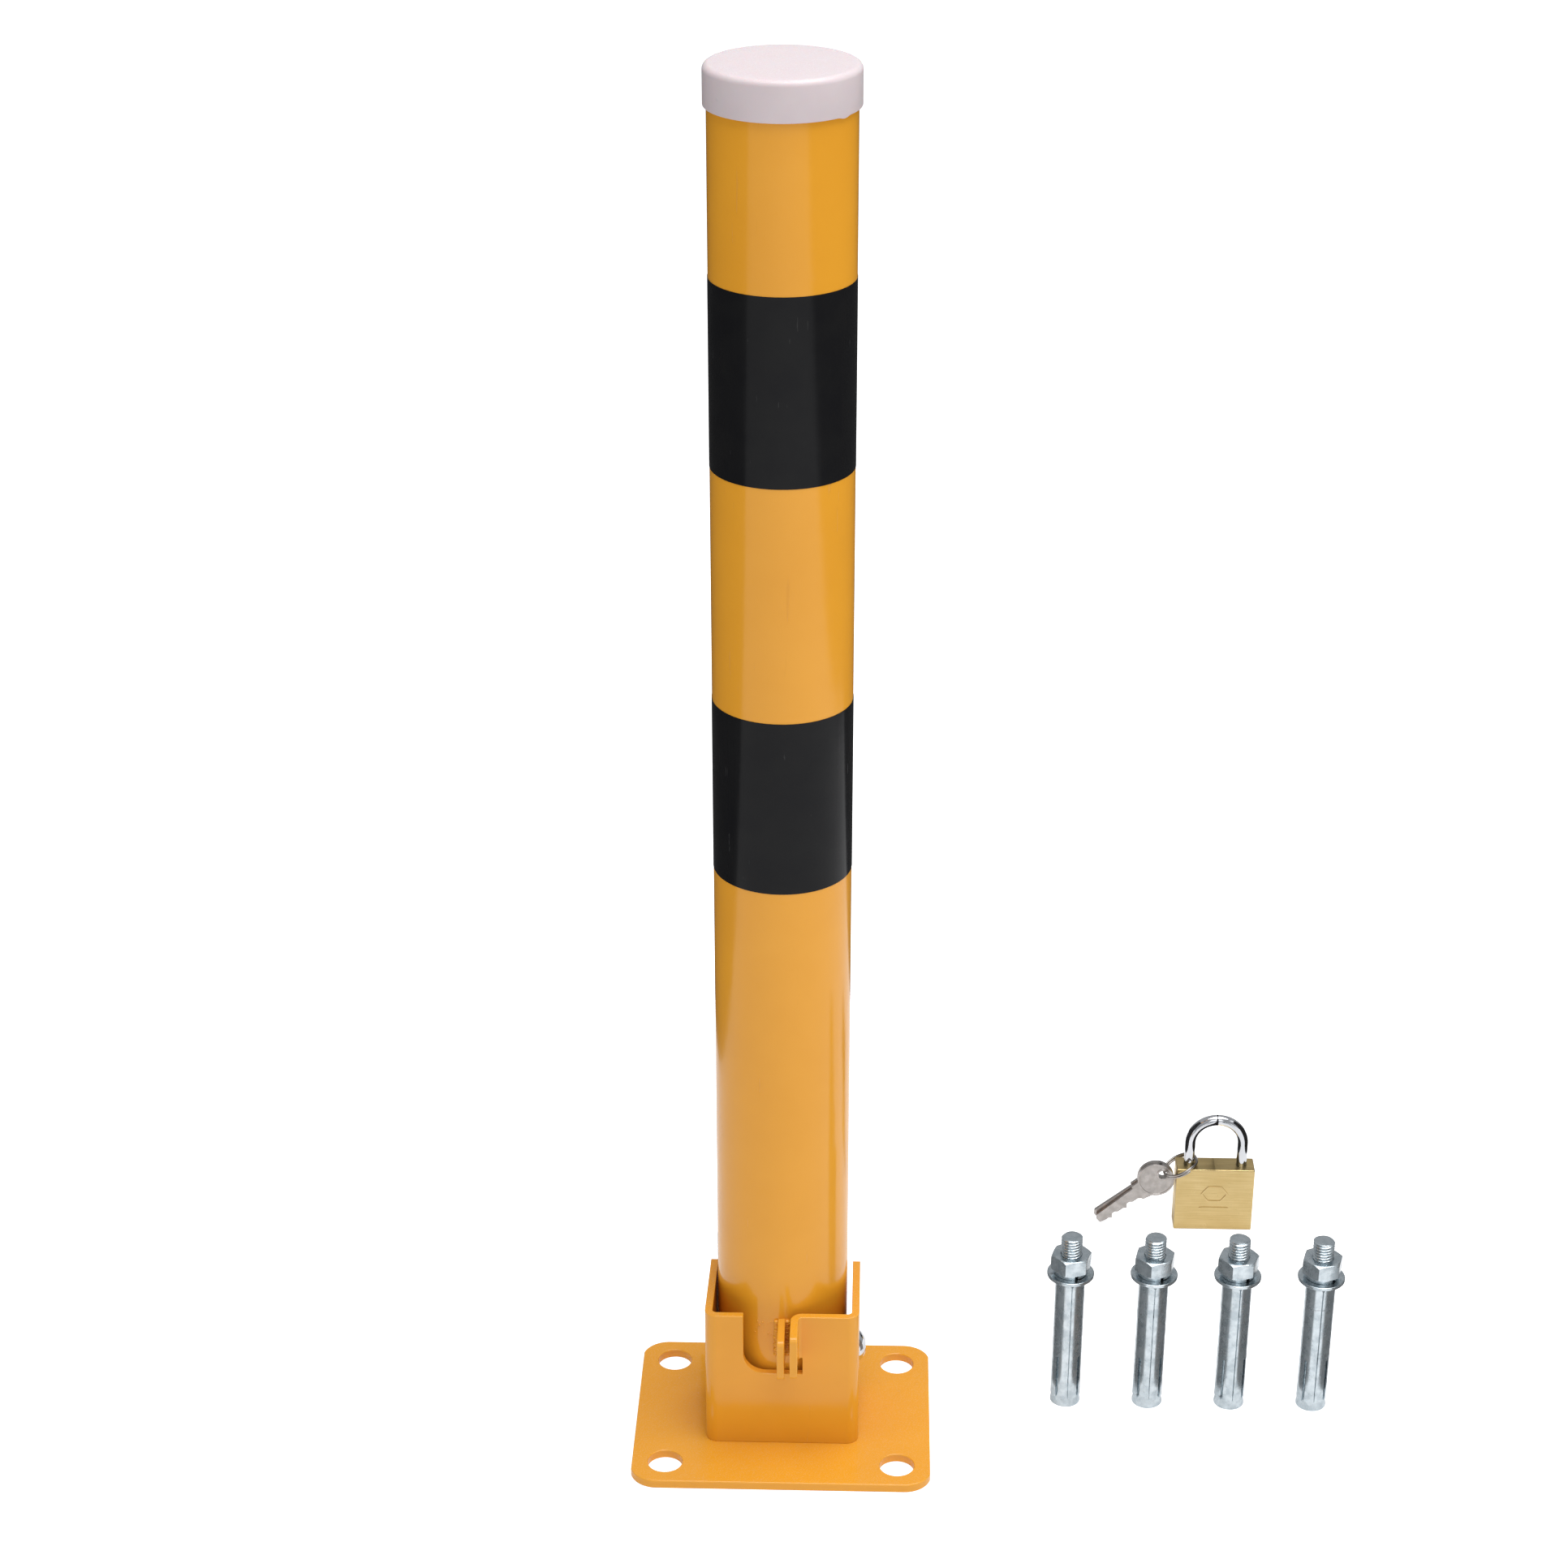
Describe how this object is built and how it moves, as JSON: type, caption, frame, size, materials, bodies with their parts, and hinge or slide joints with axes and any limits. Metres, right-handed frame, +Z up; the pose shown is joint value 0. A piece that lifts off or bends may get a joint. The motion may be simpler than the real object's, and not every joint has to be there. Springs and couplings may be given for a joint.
{
  "type": "folding parking lock",
  "caption": "Folding parking post: a striped round steel tube hinged in a folded-sheet socket on a bolt-down plate, with padlock, keys on a ring and sleeve anchors.",
  "frame": {"origin": "centre of the base plate's underside, on the ground", "axes": "+Z up along the standing post; +X to the right and -Y to the front, where the socket's ear is; the post folds down towards +Y"},
  "size_m": [0.331, 0.2396, 0.6393],
  "materials": {
    "yellow_paint": "gloss orange-yellow enamel on steel",
    "black_tape": "smooth gloss black film",
    "white_plastic": "satin moulded plastic",
    "bright_chrome": "polished chrome plate",
    "zinc": "bright blue-white zinc plate",
    "spring_steel": "oiled steel",
    "brass": "brushed along its width",
    "nickel": "satin nickel plate"
  },
  "bodies": {
    "base": {"base_plate": "yellow_paint", "socket": "yellow_paint", "socket_welds": "yellow_paint", "hinge_bolt": "bright_chrome", "hinge_nut": "yellow_paint", "hinge_washer_right": "zinc", "hinge_washer_left": "zinc"},
    "post": {"post_tube": "yellow_paint", "hinge_sleeve": "zinc", "post_ear": "yellow_paint", "post_ear_weld": "yellow_paint", "post_cap": "white_plastic", "band_lower": "black_tape", "band_upper": "black_tape"},
    "padlock": {"padlock_body": "brass", "shackle_spring": "spring_steel", "shackle_stop_pin": "spring_steel", "plug_retaining_pin": "brass", "driver_pins": "brass", "pin_springs": "spring_steel", "chamber_plugs": "brass", "latch_spring": "spring_steel"},
    "shackle": {"shackle": "bright_chrome"},
    "lock_plug": {"lock_plug": "brass", "key_pins": "brass"},
    "latch": {"latch": "spring_steel"},
    "key_ring": {"key_ring": "nickel"},
    "key_1": {"key_1": "nickel"},
    "key_2": {"key_2": "nickel"},
    "anchor_1": {"anchor_1_stud": "zinc", "anchor_1_sleeve": "zinc", "anchor_1_flat_washer": "zinc", "anchor_1_spring_washer": "zinc"},
    "anchor_1_nut": {"anchor_1_nut": "zinc"},
    "anchor_2": {"anchor_2_stud": "zinc", "anchor_2_sleeve": "zinc", "anchor_2_flat_washer": "zinc", "anchor_2_spring_washer": "zinc"},
    "anchor_2_nut": {"anchor_2_nut": "zinc"},
    "anchor_3": {"anchor_3_stud": "zinc", "anchor_3_sleeve": "zinc", "anchor_3_flat_washer": "zinc", "anchor_3_spring_washer": "zinc"},
    "anchor_3_nut": {"anchor_3_nut": "zinc"},
    "anchor_4": {"anchor_4_stud": "zinc", "anchor_4_sleeve": "zinc", "anchor_4_flat_washer": "zinc", "anchor_4_spring_washer": "zinc"},
    "anchor_4_nut": {"anchor_4_nut": "zinc"}
  },
  "joints": [
    {"name": "post_fold", "type": "hinge", "parent": "base", "child": "post", "pos_m": [0, 0.01, 0.0357], "axis": [-1, 0, 0], "range_deg": [0, 90]},
    {"name": "padlock_lift", "type": "slide", "parent": "base", "child": "padlock", "axis": [0, 0, 1], "range_m": [0, 0.08]},
    {"name": "shackle_slide", "type": "slide", "parent": "padlock", "child": "shackle", "axis": [0, 0, 1], "range_m": [0, 0.01]},
    {"name": "plug_turn", "type": "hinge", "parent": "padlock", "child": "lock_plug", "pos_m": [0.217, 0.175, 0.005], "axis": [0, 0, 1], "range_deg": [-90, 0]},
    {"name": "latch_slide", "type": "slide", "parent": "padlock", "child": "latch", "axis": [1, 0, 0], "range_m": [0, 0.002]},
    {"name": "key_ring_lift", "type": "slide", "parent": "padlock", "child": "key_ring", "axis": [0, 0, 1], "range_m": [0, 0.008]},
    {"name": "key_1_swing", "type": "hinge", "parent": "key_ring", "child": "key_1", "pos_m": [0.19124, 0.175, 0.03058], "axis": [0, 1, 0], "range_deg": [0, 60]},
    {"name": "key_2_swing", "type": "hinge", "parent": "key_ring", "child": "key_2", "pos_m": [0.19124, 0.175, 0.03058], "axis": [0, 1, 0], "range_deg": [0, 60]},
    {"name": "anchor_1_lift", "type": "slide", "parent": "base", "child": "anchor_1", "axis": [0, 0, 1], "range_m": [0, 0.1]},
    {"name": "anchor_1_nut_turn", "type": "hinge", "parent": "anchor_1", "child": "anchor_1_nut", "pos_m": [0.134, 0.02, 0.078], "axis": [0, 0, 1], "continuous": true},
    {"name": "anchor_2_lift", "type": "slide", "parent": "base", "child": "anchor_2", "axis": [0, 0, 1], "range_m": [0, 0.1]},
    {"name": "anchor_2_nut_turn", "type": "hinge", "parent": "anchor_2", "child": "anchor_2_nut", "pos_m": [0.173, 0.02, 0.078], "axis": [0, 0, 1], "continuous": true},
    {"name": "anchor_3_lift", "type": "slide", "parent": "base", "child": "anchor_3", "axis": [0, 0, 1], "range_m": [0, 0.1]},
    {"name": "anchor_3_nut_turn", "type": "hinge", "parent": "anchor_3", "child": "anchor_3_nut", "pos_m": [0.212, 0.02, 0.078], "axis": [0, 0, 1], "continuous": true},
    {"name": "anchor_4_lift", "type": "slide", "parent": "base", "child": "anchor_4", "axis": [0, 0, 1], "range_m": [0, 0.1]},
    {"name": "anchor_4_nut_turn", "type": "hinge", "parent": "anchor_4", "child": "anchor_4_nut", "pos_m": [0.251, 0.02, 0.078], "axis": [0, 0, 1], "continuous": true}
  ],
  "couplings": [
    {"joint": "latch_slide", "follows": "plug_turn", "m_per_rad": -0.0012732}
  ]
}
